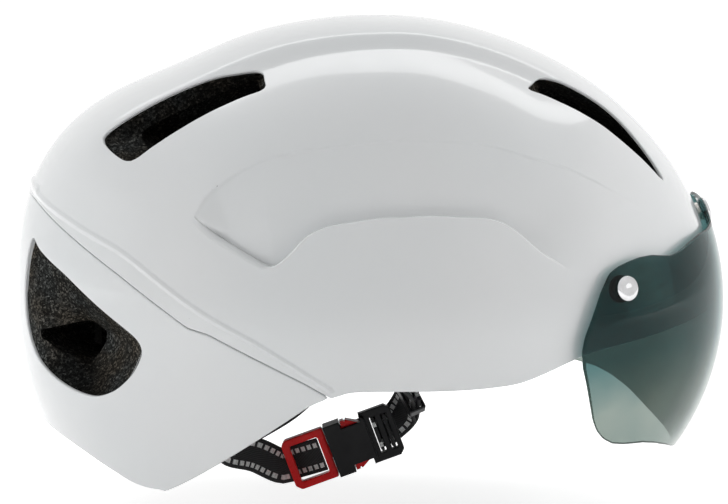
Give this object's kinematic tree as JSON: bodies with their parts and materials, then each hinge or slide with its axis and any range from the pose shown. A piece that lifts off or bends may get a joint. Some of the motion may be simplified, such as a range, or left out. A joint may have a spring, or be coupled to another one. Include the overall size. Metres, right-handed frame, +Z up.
{
  "type": "bicycle helmet",
  "caption": "Smooth white city cycling helmet with raised centre ridge, recessed side panels, magnetic smoke visor, dial-adjusted headband and webbing chin strap with side-release buckle.",
  "frame": {"origin": "centre of the head opening, level with the side rim", "axes": "+X forward (the visor's side), +Y to the wearer's left, +Z up"},
  "size_m": [0.2966, 0.216, 0.2017],
  "materials": {
    "shell_white": "glossy lacquered ABS",
    "foam": "fine grained expanded polystyrene",
    "lens_smoke": "smoke polycarbonate with a faint mirror coat",
    "stud_chrome": "polished",
    "magnet_nickel": "nickel plated",
    "black_nylon": "matte moulded nylon",
    "dial_rubber": "fine matte",
    "pinion_white": "natural acetal",
    "steel": "plain",
    "pad_cloth": "brushed knit over foam",
    "webbing_black": "woven with two rows of white stitches",
    "buckle_red": "glossy acetal",
    "buckle_black": "glossy acetal"
  },
  "bodies": {
    "helmet": {"upper_shell": "shell_white", "rear_shell": "shell_white", "foam_brow": "foam", "foam_front_left": "foam", "foam_front_right": "foam", "foam_side_left": "foam", "foam_side_right": "foam", "foam_rear_left": "foam", "foam_rear_right": "foam", "foam_nape": "foam", "foam_crown_front": "foam", "foam_crown_rear": "foam", "shell_magnets": "magnet_nickel", "magnet_cups": "black_nylon", "temple_pivots": "black_nylon", "height_guide": "black_nylon", "front_headband": "black_nylon", "headband_pins": "black_nylon", "brow_pad": "pad_cloth", "crown_pad": "pad_cloth", "side_pads": "pad_cloth", "pad_dots": "pad_cloth", "strap_anchors": "black_nylon", "front_strap_left": "webbing_black", "rear_strap_left": "webbing_black", "front_strap_right": "webbing_black", "rear_strap_right": "webbing_black", "divider_left": "black_nylon", "divider_right": "black_nylon", "chin_strap_left": "webbing_black", "chin_strap_right": "webbing_black", "buckle_female": "buckle_black", "strap_keeper": "black_nylon"},
    "visor": {"visor_lens": "lens_smoke", "visor_studs": "stud_chrome", "visor_magnets": "magnet_nickel"},
    "cradle": {"temple_sleeves": "black_nylon", "dial_housing": "black_nylon", "cradle_back": "black_nylon", "click_spring": "steel", "height_strip": "black_nylon", "cradle_pad": "pad_cloth"},
    "band_left": {"band_left": "black_nylon"},
    "band_right": {"band_right": "black_nylon"},
    "dial": {"dial_knob": "dial_rubber", "dial_pinion": "pinion_white", "dial_screw": "steel"},
    "buckle_insert": {"buckle_male": "buckle_red"},
    "prong_upper": {"prong_upper": "buckle_red"},
    "prong_lower": {"prong_lower": "buckle_red"}
  },
  "joints": [
    {"name": "visor_pull", "type": "slide", "parent": "helmet", "child": "visor", "axis": [1, 0, 0], "range_m": [0, 0.04]},
    {"name": "cradle_height", "type": "hinge", "parent": "helmet", "child": "cradle", "pos_m": [-0.025, 0, 0.014], "axis": [0, 1, 0], "range_deg": [-7, 7]},
    {"name": "dial_turn", "type": "hinge", "parent": "cradle", "child": "dial", "pos_m": [-0.08796, 0, -0.00891], "axis": [0.9397, 0, 0.342], "range_deg": [-105, 105]},
    {"name": "band_left_wrap", "type": "hinge", "parent": "cradle", "child": "band_left", "pos_m": [-0.01278, 0, 0.01845], "axis": [-0.342, 0, 0.9397], "range_deg": [-8, 8]},
    {"name": "band_right_wrap", "type": "hinge", "parent": "cradle", "child": "band_right", "pos_m": [-0.01278, 0, 0.01845], "axis": [-0.342, 0, 0.9397], "range_deg": [-8, 8]},
    {"name": "buckle_release", "type": "slide", "parent": "helmet", "child": "buckle_insert", "axis": [-0.9397, 0, -0.342], "range_m": [0, 0.024], "deforming": ["prong_upper", "prong_lower", "chin_strap_left"]},
    {"name": "prong_upper_press", "type": "hinge", "parent": "buckle_insert", "child": "prong_upper", "pos_m": [-0.01527, 0, -0.04337], "axis": [0, 1, 0], "range_deg": [0, 8], "stiffness_Nm_per_rad": 0.15},
    {"name": "prong_lower_press", "type": "hinge", "parent": "buckle_insert", "child": "prong_lower", "pos_m": [-0.01014, 0, -0.05747], "axis": [0, -1, 0], "range_deg": [0, 8], "stiffness_Nm_per_rad": 0.15}
  ],
  "couplings": [
    {"joint": "band_left_wrap", "follows": "dial_turn", "ratio": 0.07353},
    {"joint": "band_right_wrap", "follows": "dial_turn", "ratio": -0.07514}
  ]
}
